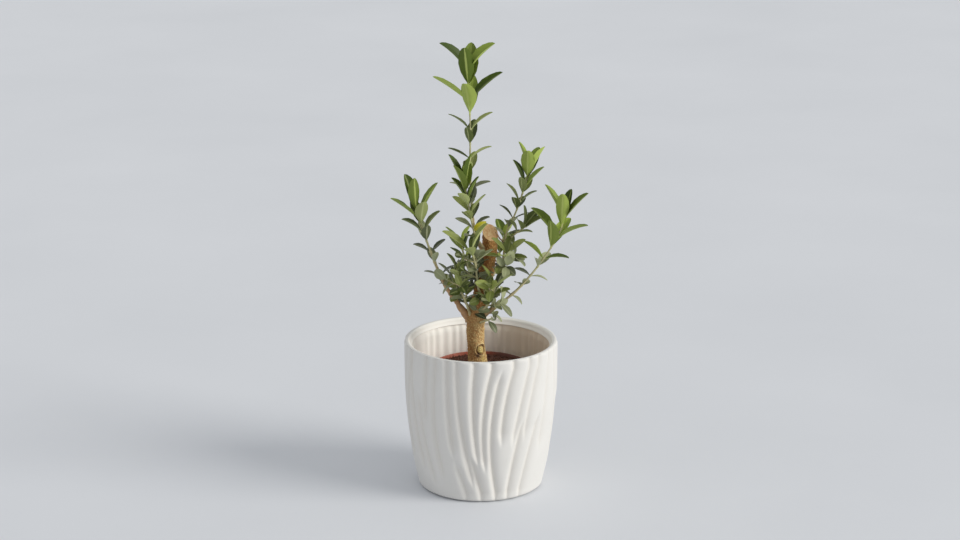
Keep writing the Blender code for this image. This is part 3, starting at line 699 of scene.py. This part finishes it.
# ----------------------------------------
# Boughs and shoots: young wood that sprang from the cut trunk. Each one tapers from a collar at
# its foot to a bud, bends a few times on its way up to the light, and is a little swollen where
# each pair of leaves stands. Its sizes are in millimetres; its foot is (carrier, height, bearing).
SHOOTS = {
    "leader": dict(
        foot=("trunk", 213, 140), radii=(1.7, 0.6), bends=((-6, 8, 232), (-9, 5, 280), (-9, 3, 326), (-11, 2, 373)),
        internodes=(12, 15), leaves=(37, 37, 18), long_pairs=3, shortening=0.22, rises=(62, 28), sway=14, first_turn=0,
        tiers=(2, 2, 2, 2, 2), ages=("young", "young", "grown", "grown", "old"),
    ),
    "left_bough": dict(
        foot=("trunk", 158, 180), radii=(3.0, 0.8),
        bends=((-21, -2, 167), (-32, -4, 185), (-43, -6, 213), (-56, -9, 252)), internodes=(6, 13), leaves=(33, 36, 13),
        rises=(62, 34), sway=-11, first_turn=65,
        tiers=(2, 2, 3, 2), ages=("young", "grown", "old", "old"),
    ),
    "centre_shoot": dict(
        foot=("trunk", 219, 215), radii=(1.3, 0.7), bends=((-5, -9, 230), (-10, -10, 255), (-14, -10, 275)),
        internodes=(5, 8), leaves=(30, 30, 18), rises=(70, 25), first_turn=12,
        tiers=(3, 3, 2), ages=("young", "grown", "old"),
    ),
    "front_shoot": dict(
        foot=("trunk", 176, 262), radii=(1.2, 0.8), bends=((-2, -13, 183), (-5, -20, 209), (-9, -22, 220)),
        internodes=(5.5, 10), leaves=(31, 26, 15), rises=(45, 15), first_turn=0, tiers=(2, 3), ages=("grown", "old"),
    ),
    "right_upper": dict(
        foot=("trunk", 176, 350), radii=(1.5, 0.7),
        bends=((15, -1, 184), (20, 4, 207), (22, 7, 226), (31, 11, 246), (43, 14, 282)),
        internodes=(6, 10.5), leaves=(27, 31, 12), rises=(65, 10), first_turn=8,
        tiers=(3, 3, 3, 3), ages=("young", "grown", "old", "old"),
    ),
    "right_mid": dict(
        foot=("right_upper", 221, 330), radii=(1.0, 0.7), bends=((28, 3, 226), (39, -4, 236)),
        internodes=(3.5, 8), leaves=(20, 22, 10), rises=(60, 15), first_turn=10, tiers=(4,), ages=("grown",),
    ),
    "knot_shoot": dict(
        foot=("right_upper", 197, 262), radii=(0.9, 0.7), bends=((20, -5, 200), (22, -10, 207), (23, -13, 215)),
        internodes=(4.5, 5), leaves=(20, 24, 18), rises=(45, 0), first_turn=0, tiers=(4,), ages=("grown",),
    ),
    "right_bough": dict(
        foot=("trunk", 159, 315), radii=(1.7, 0.7),
        bends=((13, -9, 165), (31, -10, 180), (49, -12, 202), (66, -13, 229), (72, -13, 247)),
        internodes=(9, 12), leaves=(33, 33, 12), long_pairs=3, rises=(68, -5), sway=13, first_turn=12,
        tiers=(3, 2, 2, 2), ages=("young", "young", "old", "old"),
    ),
    "low_right": dict(
        foot=("trunk", 152, 300), radii=(0.9, 0.7), bends=((6, -14, 154), (11, -18, 158)),
        internodes=(7, 7), leaves=(10, 13, 13), rises=(20, -15), first_turn=100, tiers=(2,), ages=("old",),
    ),
    "low_front": dict(
        foot=("trunk", 163, 285), radii=(1.1, 0.7), bends=((6, -13, 167), (9, -18, 176), (13, -22, 188)),
        internodes=(5, 6), leaves=(22, 23, 15), rises=(50, 15), first_turn=20, tiers=(3, 2), ages=("grown", "old"),
    ),
    "left_inner": dict(
        foot=("trunk", 160, 140), radii=(1.1, 0.7), bends=((-17, 8, 170), (-26, 12, 189)),
        internodes=(7, 6), leaves=(16, 17, 13), rises=(50, 20), first_turn=30, tiers=(3, 2), ages=("old", "old"),
    ),
    "left_front": dict(
        foot=("trunk", 160, 222), radii=(1.1, 0.7), bends=((-12, -11, 168), (-18, -15, 184), (-20, -17, 202)),
        internodes=(7, 7), leaves=(17, 17, 12), rises=(55, 10), first_turn=10, tiers=(3, 2), ages=("grown", "old"),
    ),
    "back_left": dict(
        foot=("trunk", 170, 110), radii=(1.3, 0.7), bends=((-8, 20, 180), (-18, 37, 210)),
        internodes=(7.5, 9), leaves=(20, 22, 14), rises=(55, 25), first_turn=20, tiers=(3, 2), ages=("young", "old"),
    ),
    "back_right": dict(
        foot=("trunk", 182, 60), radii=(1.3, 0.7), bends=((13, 20, 190), (20, 39, 215)),
        internodes=(7.5, 9), leaves=(20, 22, 14), rises=(55, 25), first_turn=60, tiers=(3, 2), ages=("young", "old"),
    ),
    "back_low": dict(
        foot=("trunk", 160, 80), radii=(1.2, 0.7), bends=((-1, 20, 166), (2, 44, 188)),
        internodes=(8, 9), leaves=(18, 20, 14), rises=(45, 25), first_turn=0, tiers=(2, 2), ages=("grown", "old"),
    ),
}
FIRST_RUN = 1.5 * MM
FOOT_EASE = 0.5
CLEARANCE = 0.3 * MM
QUARTER = 90
TIP_BUD = 1 * MM
LONG_PAIRS = 1
SHORTENING = 0.4
INTERNODE_JITTER = 0.15
TURN_JITTER = 8
LENGTH_JITTER = 0.06
RISE_JITTER = 5
TURN_TO_LIGHT = 0.5
TAPER = 2.5
SHOOT_SIDES = 14
SHOOT_STEP = 0.9 * MM
JOINT_RUN = 7 * MM
COLLAR_REACH = 4 * MM
NODE_SWELLING = 0.22 * MM
NODE_REACH = 0.9 * MM
WOODY_FROM = (0.9 * MM, 1.9 * MM)
OLD_WOOD = ((0.24, 0.12, 0.05, 1), (0.74, 0.47, 0.25, 1))


def shoot_path(shoot):
    """The shoot's centre line, from its carrier's surface through its bends to its tip."""
    carrier, height, bearing = shoot["foot"]
    out = Vector((math.cos(math.radians(bearing)), math.sin(math.radians(bearing)), 0))
    if carrier == "trunk":
        centre, radius = trunk_ring(height * MM)
    else:
        centre = min(shoot_paths[carrier], key=lambda point: abs(point.z - height * MM))
        radius = SHOOTS[carrier]["radii"][0] * MM
    foot = centre + out * (radius + CLEARANCE + FOOT_EASE * shoot["radii"][0] * MM)
    return smooth_path([foot, foot + out * FIRST_RUN, *(Vector(bend) * MM for bend in shoot["bends"])])


def shoot_radius(shoot, path, distance):
    """A shoot thins fast above its foot, and then slowly up to its tip."""
    base, tip = (radius * MM for radius in shoot["radii"])
    left = max(1 - distance / path_length(path), 0)
    return tip + (base - tip) * left**TAPER


def tangent(path, distance):
    start = max(distance - STATION / 2, 0)
    return (walk(path, start + STATION) - walk(path, start)).normalized()


def frame_round(axis):
    """Two directions square to an axis: toward the right, and toward the front."""
    right = Vector((0, 1, 0)).cross(axis).normalized()
    return right, right.cross(axis).normalized()


def leaf_length(shoot, number, count):
    """Leaves lengthen from the tip to the last long pair and shorten from there to the foot."""
    last_long = shoot.get("long_pairs", LONG_PAIRS)
    tip, longest, foot = shoot["leaves"]
    if number < last_long:
        return (tip + (longest - tip) * number / last_long) * MM
    share = (number - last_long) / max(count - 1 - last_long, 1)
    return (longest + (foot - longest) * share ** shoot.get("shortening", SHORTENING)) * MM


def leaf_pairs(name, shoot, path):
    """Every pair from the tip down: its distance along the shoot and its two (turn, length, rise)."""
    dice = random.Random(name)
    count = sum(shoot["tiers"])
    distance = path_length(path) - TIP_BUD
    turn = shoot["first_turn"]
    pairs = []
    for number in range(count):
        share = number / (count - 1)
        rise = part_way(shoot["rises"], share) - shoot.get("sway", 0) * (-1) ** number
        internode = part_way(shoot["internodes"], share)
        leaves = []
        for side in (0, 180):
            leaf_turn = turn + side + dice.uniform(-TURN_JITTER, TURN_JITTER)
            length = leaf_length(shoot, number, count) * (1 + dice.uniform(-LENGTH_JITTER, LENGTH_JITTER))
            leaves.append((leaf_turn % 360, length, rise + dice.uniform(-RISE_JITTER, RISE_JITTER)))
        pairs.append((distance, leaves))
        distance -= internode * MM * (1 + dice.uniform(-INTERNODE_JITTER, INTERNODE_JITTER))
        turn += QUARTER
    return pairs


def joint_centre(shoot, path, distance):
    """The centre line of the wood: near the foot it swings out of the carrier in one curve."""
    if distance >= JOINT_RUN:
        return walk(path, distance)
    inward = (path[0] - walk(path, FIRST_RUN)).normalized() - Vector((0, 0, 0.8))
    start = path[0] + inward * 1.3 * (shoot["radii"][0] * MM + MM)
    end = walk(path, JOINT_RUN)
    share = distance / JOINT_RUN
    middle = end - tangent(path, JOINT_RUN) * (end - start).length * 0.5
    return start.lerp(middle, share).lerp(middle.lerp(end, share), share)


def add_skin(faces, first, rings, sides, facing=1):
    """Outward faces from ring to ring and a cap at each end; facing is -1 where rings turn the other way."""
    for low in range(first, first + (rings - 1) * sides, sides):
        for side in range(sides):
            following = (side + 1) % sides
            corners_round = (low + side, low + sides + side, low + sides + following, low + following)
            faces.append(corners_round[::facing])
    last = first + (rings - 1) * sides
    faces.append(tuple(range(first, first + sides))[::facing])
    faces.append(tuple(range(last, last + sides))[::-facing])


def add_tube(corners, faces, centres, reaches, sides):
    """A capped tube of rings, every point at its own reach from the centre line."""
    first = len(corners)
    for number, centre in enumerate(centres):
        axis = (centres[min(number + 1, len(centres) - 1)] - centres[max(number - 1, 0)]).normalized()
        right, front = frame_round(axis)
        for side in range(sides):
            turn = math.tau * side / sides
            out = right * math.cos(turn) + front * math.sin(turn)
            corners.append(centre + out * reaches(number, centre + out * MM))
    add_skin(faces, first, len(centres), sides)


def woodiness(radius):
    """From 0 on a green shoot to 1 on brown wood, by how thick it is."""
    thin, thick = WOODY_FROM
    return min(max((radius - thin) / (thick - thin), 0), 1)


shoot_paths = {}
shoot_pairs = {}
corners, faces, woody = [], [], []
for name, shoot in SHOOTS.items():
    path = shoot_path(shoot)
    shoot_paths[name] = path
    shoot_pairs[name] = leaf_pairs(name, shoot, path)
    length = path_length(path)
    rows = round(length / SHOOT_STEP)
    distances = evenly(0, length, rows)

    def wood_reach(number, point):
        distance = distances[number]
        radius = shoot_radius(shoot, path, distance)
        collar = 1 + 0.45 * math.exp(-distance / COLLAR_REACH)
        joint = sum(bell(distance - at, NODE_REACH) for at, _ in shoot_pairs[name])
        rough = noise.noise(point * 600) * 0.20 + noise.noise(point * 190) * 0.24
        tip = max(min((rows - number) / 2.5, 1), 0.12)
        return (radius * collar * (1 + rough * min(radius / (1.6 * MM), 1)) + NODE_SWELLING * joint) * tip

    centres = [joint_centre(shoot, path, distance) for distance in distances]
    add_tube(corners, faces, centres, wood_reach, SHOOT_SIDES)
    for distance in distances:
        woody += [woodiness(shoot_radius(shoot, path, distance))] * SHOOT_SIDES


def rough_reach(thick, change):
    """The uneven thickness of a dead twig or a stub."""
    return lambda ring, point: thick * (1 + change * noise.noise(point * 900))


def add_twig(line, reach, wood):
    """A thin twig along a line of points, as woody all over as given."""
    add_tube(corners, faces, line, reach, TWIG_SIDES)
    woody.extend([wood] * (len(line) * TWIG_SIDES))


# Short side twigs break from the axils of the shoots in the thick of the crown, each between the
# first and the last pair given here, counted from the tip.
BREAKING = {
    "front_shoot": (2, 4),
    "low_front": (1, 4),
    "knot_shoot": (2, 3),
    "left_front": (2, 4),
    "left_inner": (2, 4),
    "back_low": (1, 3),
}
TWIG_SIDES = 8
TWIG_STEPS = 6
TWIG_CHANCE = 0.55
TWIG_RUN = (7 * MM, 13 * MM)
TWIG_RADIUS = 0.55 * MM
TWIG_LEAF = (11.5 * MM, 16.5 * MM)
STUBS = 16
STUB_HEIGHTS = (154, 184)
STUB_BEARINGS = (200, 340)
STUB_LEAF = (9, 14)
DEAD_TWIG = ((13.0, -1, 230.0), (14.6, 0, 227.5), (16.4, 2, 223.6), (18.9, 4, 220.8), (21.3, 5.6, 218.6))
side_twigs = []
for name, (first_pair, last_pair) in BREAKING.items():
    shoot, path = SHOOTS[name], shoot_paths[name]
    twig_dice = random.Random(name + " side twigs")
    for distance, leaves in shoot_pairs[name][first_pair : last_pair + 1]:
        axis = tangent(path, distance)
        right, front = frame_round(axis)
        for turn, _, _ in leaves:
            bearing = math.radians(turn + twig_dice.uniform(-30, 30))
            run = twig_dice.uniform(*TWIG_RUN)
            lift = twig_dice.uniform(0.5, 1.1)
            if twig_dice.random() >= TWIG_CHANCE:
                continue
            out = (right * math.cos(bearing) + front * math.sin(bearing) + axis * lift).normalized()
            foot = walk(path, distance)
            shares = evenly(0, 1, TWIG_STEPS)
            line = [foot + out * run * share + Vector((0, 0, run * 0.18 * share**2)) for share in shares]
            side_twigs.append((line, (6, 3), twig_dice.uniform(*TWIG_LEAF), twig_dice.uniform(0, 90), name))
            add_twig(line, lambda ring, point: TWIG_RADIUS * (1.2 - 0.09 * ring), wood=0.15)

# The stubs of twigs that were pinched off low on the trunk stand in the fork. Some of them have
# put out a pair of leaves again.
stub_dice = random.Random("pinched twigs")
for number in range(STUBS):
    height = stub_dice.uniform(*STUB_HEIGHTS) * MM
    bearing = math.radians(stub_dice.uniform(*STUB_BEARINGS))
    out = Vector((math.cos(bearing), math.sin(bearing), stub_dice.uniform(0.1, 0.9))).normalized()
    centre, radius = trunk_ring(height)
    thick = stub_dice.uniform(0.55, 0.9) * MM
    run = radius + stub_dice.uniform(2.0, 5.5) * MM
    line = [centre + out * run * step / TWIG_STEPS for step in range(TWIG_STEPS + 1)]
    add_twig(line, rough_reach(thick, change=0.25), wood=0.7)
    if number % 8 < 5:
        leaf = stub_dice.uniform(*STUB_LEAF) * MM
        side_twigs.append((line, (6,), leaf, stub_dice.uniform(-25, 25), "pinched twigs"))
# One dead twig leans from the edge of the saw cut to the shoot beside it.
add_twig([Vector(bend) * MM for bend in DEAD_TWIG], rough_reach(0.62 * MM, change=0.3), wood=1.0)
shoots = joined_piece("shoot_bark", corners, faces)
shoots.data.shade_smooth()
note(shoots, "woody", woody)
shoot_bark, green_tint = finish_material(
    "olive shoot bark", (0.30, 0.27, 0.12), (0.70, 0.66, 0.38),
    roughness=0.7, grain_size=1600, mottle_size=300, bump=0.6, relief=0.18 * MM,
)
wood_tree = shoot_bark.node_tree
old_wood = mix_colours(wood_tree, what_feeds(green_tint.inputs["Factor"]), *OLD_WOOD).outputs["Result"]
by_age = mix_colours(wood_tree, share_of(shoot_bark, "woody"), green_tint.outputs["Result"], old_wood)
wood_tree.links.new(by_age.outputs["Result"], shader_socket(shoot_bark, "Base Color"))
shoots.data.materials.append(shoot_bark)
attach(shoots, "root")
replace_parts(shoots, *SHOOTS)

# ----------------------------------------
# Leaves: small leathery olive leaves in opposite pairs, each pair turned a quarter round from the
# last. A leaf is folded along its pale midrib, arched, widest at its middle and bluntly
# pointed. Young ones are yellow-green, old ones dark grey-green, and all are paler underneath.
LEAF_STATIONS = (0, 0.07, 0.18, 0.34, 0.54, 0.74, 0.89, 0.97, 1)
LEAF_LANES = (-1, -0.5, 0, 0.5, 1)
LEAF_SIDES = 8
LEAF_THICKNESS = 0.32 * MM
LONGEST_LEAF = 36 * MM
STALK_SHARE = 0.07
STALK_WIDTH = 0.09
LEAF_KINDS = ("young", "grown", "old")
LEAF_FOLDS = {"young": (0.40, 0.65), "grown": (0.25, 0.5), "old": (0.1, 0.4)}
SLIMMEST = {"young": 0.35, "grown": 0.36, "old": 0.38}
TIP_SHORT = 0.5 * MM
BOX_MARGIN = 1.7 * MM
PAIR_TWIST = 17
LEAF_ROLL = 18
LEAF_DROOP = (0.03, 0.13)
LEAF_WAVE = (0, 0.025)
TWIG_LEAF_RISE = (15, 50)
TWIG_LEAF_WIDTH = (0.48, 0.66)
MORE_PALE = 0.4
MORE_DARK = 1.3
DARK_SIDE = -2 * MM
TONE_WEIGHT = 0.92
FEW_PALE = 1.7
VEIN_SLANT = 0.22
VEIN_WAVES = 75
VEINS_STAND = 0.22
LEAF_SHINE = 0.26
leaf_parts = {kind: ([], [], [], []) for kind in LEAF_KINDS}
leaf_nodes = {kind: [] for kind in LEAF_KINDS}


def half_width(share):
    """Half width along a leaf, as a share of the widest: a stalk, a wedge base and a round tip."""
    blade = (share - STALK_SHARE) / (1 - STALK_SHARE)
    if blade <= 0:
        return STALK_WIDTH
    return max(STALK_WIDTH * (1 - blade), math.sin(math.pi * min(blade, 0.999) ** 1.03) ** (0.76 - 0.24 * blade))


def add_leaf(part, base, along, upper, length, width, arch, fold, wave, tone):
    """One closed leaf: five lanes of points over it and three under it, from stalk to tip."""
    corners, faces, looks, marks = part
    across = along.cross(upper)
    first = len(corners)
    for share in LEAF_STATIONS:
        reach = max(half_width(share), 0.05) * width / 2
        middle = base + along * (length * share) + upper * (4 * arch * length * share * (1 - share))
        thick = LEAF_THICKNESS * (1.6 - share)
        for lane, under in [(lane, 0) for lane in LEAF_LANES] + [(lane, 1) for lane in LEAF_LANES[3:0:-1]]:
            ruffle = wave * width * math.sin(share * 9 + 2 * lane) * abs(lane)
            lift = abs(lane) ** 1.25 * reach * fold + ruffle
            sink = thick * (1.5 if lane == 0 else 1) * under
            corners.append(middle + across * (lane * reach) + upper * (lift - sink))
            marks.append((abs(lane), share, tone))
    add_skin(faces, first, len(LEAF_STATIONS), LEAF_SIDES, facing=-1)
    looks += ([0] * 4 + [1] * 4) * (len(LEAF_STATIONS) - 1) + [0, 0]


def length_inside(base, along, length):
    """The leaf's length, cut down where its tip would leave the space that the tree takes up."""
    for place, step, low, high in zip(base, along, *cad_box):
        edge = high - BOX_MARGIN if step > 0 else low + BOX_MARGIN
        if step and (edge - place) / step > 0:
            length = min(length, (edge - place) / step)
    return length


def leaf_directions(right, front, axis, turn, rise):
    """A leaf's way out from the wood, its way along to its tip, and the way its face looks."""
    side = right * math.cos(turn) + front * math.sin(turn)
    return side, side * math.cos(rise) + axis * math.sin(rise), axis * math.cos(rise) - side * math.sin(rise)


for name, shoot in SHOOTS.items():
    path = shoot_paths[name]
    pairs = enumerate(shoot_pairs[name])
    look_dice = random.Random(name + " leaf shapes")
    # Leaves in the thick of the crown are dealt paler tones: painted light that makes up for the shade among them.
    tone_power = MORE_PALE if name in BREAKING else 1
    for tier, (size, kind) in enumerate(zip(shoot["tiers"], shoot["ages"])):
        leaf_nodes[kind].append(f"{name}_leaves_{tier + 1}")
        for _ in range(size):
            number, (distance, leaves) = next(pairs)
            axis = tangent(path, distance).lerp(Vector((0, 0, 1)), TURN_TO_LIGHT).normalized()
            right, front = frame_round(axis)
            for turn, length, rise in leaves:
                turn = math.radians(turn + PAIR_TWIST * (number % 2))
                side, along, upper = leaf_directions(right, front, axis, turn, math.radians(rise))
                roll = Matrix.Rotation(math.radians(look_dice.uniform(-LEAF_ROLL, LEAF_ROLL)), 3, along)
                base = walk(path, distance) + side * shoot_radius(shoot, path, distance) * 0.6
                slim = SLIMMEST[kind] + 0.14 * (1 - length / LONGEST_LEAF) + look_dice.uniform(-0.03, 0.06)
                droop = (1 - rise / 90) * look_dice.uniform(*LEAF_DROOP)
                add_leaf(
                    leaf_parts[kind], base, along, roll @ upper, length_inside(base, along, length) - TIP_SHORT,
                    length * slim, droop, look_dice.uniform(*LEAF_FOLDS[kind]), look_dice.uniform(*LEAF_WAVE),
                    look_dice.random() ** tone_power,
                )

for line, bearing_pairs, leaf, first_turn, name in side_twigs:
    twig_dice = random.Random(f"{name} {leaf:.6f}")
    kind = "grown" if twig_dice.random() < 0.3 else "old"
    for pair, step in enumerate(bearing_pairs):
        axis = (line[step] - line[step - 1]).normalized()
        right, front = frame_round(axis)
        # Twig leaves left of the trunk are dealt darker tones, painted shade on the side away from the key light; the
        # rest are dealt paler ones, painted light in the thick of the crown.
        tone_power = MORE_DARK if line[step].x < DARK_SIDE else MORE_PALE
        for side_turn in (0, 180):
            turn = math.radians(first_turn + pair * QUARTER + side_turn + twig_dice.uniform(-15, 15))
            rise = math.radians(twig_dice.uniform(*TWIG_LEAF_RISE))
            _, along, upper = leaf_directions(right, front, axis, turn, rise)
            length = leaf * twig_dice.uniform(0.8, 1.05) * (1 - 0.12 * pair)
            width = length * twig_dice.uniform(*TWIG_LEAF_WIDTH)
            add_leaf(
                leaf_parts[kind], line[step], along, upper, length, width, twig_dice.uniform(0.03, 0.12),
                twig_dice.uniform(0.1, 0.4), twig_dice.uniform(0, 0.03), twig_dice.random() ** tone_power,
            )


def leaf_marks_group():
    """Where a leaf's pale midrib and stalk are, its side veins, and the tone it was dealt."""
    group = bpy.data.node_groups.new("leaf marks", "ShaderNodeTree")
    place = add_node(group, "Attribute", attribute_name="leaf_place").outputs["Vector"]
    across, along, tone = add_node(group, "SeparateXYZ", {"Vector": place}).outputs
    masks = []
    for measure, start, end in ((across, 0.07, 0.19), (along, 0.05, 0.12)):
        span = {"Value": measure, "From Min": start, "From Max": end, "To Min": 1, "To Max": 0}
        masks.append(add_node(group, "MapRange", span).outputs["Result"])
    rib = maths(group, "MAXIMUM", *masks)
    slanted = maths(group, "MULTIPLY_ADD", across, -VEIN_SLANT, along)
    veins = maths(group, "SINE", maths(group, "MULTIPLY", slanted, VEIN_WAVES))
    outputs = {"Rib": rib, "Veins": veins, "Tone": tone}
    for name in outputs:
        group.interface.new_socket(name, in_out="OUTPUT", socket_type="NodeSocketFloat")
    result = group.nodes.new("NodeGroupOutput")
    for name, output in outputs.items():
        group.links.new(output, result.inputs[name])
    return group


leaf_marks = leaf_marks_group()


def leaf_material(name, dark, light, rib, rib_strength, roughness):
    """Leaf skin: a base colour by the leaf's tone, a faint mottle, a pale rib and low veins."""
    material, tint = finish_material(
        name, dark, light, roughness, grain_size=2200, mottle_size=150, bump=0.35, relief=0.08 * MM
    )
    tree = material.node_tree
    marks = add_node(tree, "Group", node_tree=leaf_marks).outputs
    tint_by(material, tint, marks["Tone"], TONE_WEIGHT)
    factor = tint.inputs["Factor"]
    tree.links.new(maths(tree, "POWER", what_feeds(factor), FEW_PALE), factor)
    lay_colour(material, maths(tree, "MULTIPLY", marks["Rib"], rib_strength), rib)
    raise_by(material, marks["Veins"], VEINS_STAND)
    shader_socket(material, "Specular IOR Level").default_value = LEAF_SHINE
    return material


LEAF_COLOURS = {
    "young": (
        ((0.033, 0.062, 0.003), (0.36, 0.47, 0.072), (0.40, 0.47, 0.12)),
        ((0.064, 0.104, 0.007), (0.47, 0.58, 0.125), (0.49, 0.57, 0.16)),
    ),
    "grown": (
        ((0.052, 0.072, 0.014), (0.36, 0.41, 0.112), (0.38, 0.42, 0.16)),
        ((0.10, 0.130, 0.030), (0.53, 0.59, 0.23), (0.49, 0.53, 0.24)),
    ),
    "old": (
        ((0.053, 0.065, 0.030), (0.43, 0.46, 0.255), (0.41, 0.43, 0.25)),
        ((0.10, 0.118, 0.055), (0.58, 0.615, 0.375), (0.51, 0.53, 0.33)),
    ),
}


def leaf_piece(name, part, colours):
    """All the leaves of one age as one piece, with an upper skin and a paler one underneath."""
    corners, faces, looks, marks = part
    leaves = joined_piece(name, corners, faces)
    leaf_mesh = leaves.data
    leaf_mesh.shade_smooth()
    place = leaf_mesh.attributes.new("leaf_place", "FLOAT_VECTOR", "POINT")
    place.data.foreach_set("vector", [value for mark in marks for value in mark])
    (dark, light, rib), (under_dark, under_light, under_rib) = colours
    upper = leaf_material(f"{name} upper", dark, light, rib, rib_strength=0.5, roughness=0.42)
    under = leaf_material(f"{name} under", under_dark, under_light, under_rib, rib_strength=0.8, roughness=0.6)
    leaf_mesh.materials.append(upper)
    leaf_mesh.materials.append(under)
    leaf_mesh.polygons.foreach_set("material_index", looks)
    leaf_mesh.set_sharp_from_angle(angle=math.radians(60))
    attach(leaves, "root")
    return leaves


for kind in LEAF_KINDS:
    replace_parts(leaf_piece(f"{kind}_leaves", leaf_parts[kind], LEAF_COLOURS[kind]), *leaf_nodes[kind])

# One leaf that has turned yellow hangs curled beside the sawn top.
YELLOW_LEAF = (
    ((0.50, 0.46, 0.02), (0.74, 0.66, 0.06), (0.76, 0.70, 0.25)),
    ((0.44, 0.42, 0.05), (0.66, 0.60, 0.1), (0.74, 0.68, 0.25)),
)
curled = ([], [], [], [])
stalk = walk(shoot_paths["centre_shoot"], 19 * MM)
lean = Vector((0.68, -0.30, 0.60)).normalized()
facing = Vector((0.2, -0.9, 0.35))
facing = (facing - lean * lean.dot(facing)).normalized()
add_leaf(curled, stalk, lean, facing, length=15 * MM, width=7.5 * MM, arch=0.12, fold=0.7, wave=0.03, tone=0.6)
leaf_piece("yellow_leaf", curled, YELLOW_LEAF)

# ----------------------------------------
# Studio: a plain pale floor, a soft key light low on the right and a little in front, and a cool
# fill all round, so that the planter's left side falls into gentle shade.
FLOOR_SIZE = 24
KEY_PLACE = (2.506, -0.863, 1.236)
KEY_STRENGTH = 2.05
KEY_SOFTNESS = 32
FILL_STRENGTH = 0.60
bpy.ops.mesh.primitive_plane_add(size=FLOOR_SIZE)
floor = bpy.context.active_object
floor.name = "studio_floor"
floor_paint, _ = finish_material(
    "pale floor", (0.668, 0.688, 0.722), (0.748, 0.766, 0.80),
    roughness=0.8, grain_size=300, mottle_size=3.2, bump=0.1, relief=0.1 * MM,
)
floor.data.materials.append(floor_paint)

bpy.ops.object.light_add(type="SUN", location=KEY_PLACE)
key = bpy.context.active_object
key.name = "key_light"
key.data.energy = KEY_STRENGTH
key.data.angle = math.radians(KEY_SOFTNESS)
key.data.color = (1.0, 0.975, 0.925)
key.rotation_euler = key.location.to_track_quat("Z", "Y").to_euler()

surroundings = bpy.data.worlds.new("soft room")
surroundings.use_nodes = True
sky = surroundings.node_tree.nodes["Background"]
sky.inputs["Color"].default_value = (0.955, 0.975, 1.0, 1)
sky.inputs["Strength"].default_value = FILL_STRENGTH
bpy.context.scene.world = surroundings
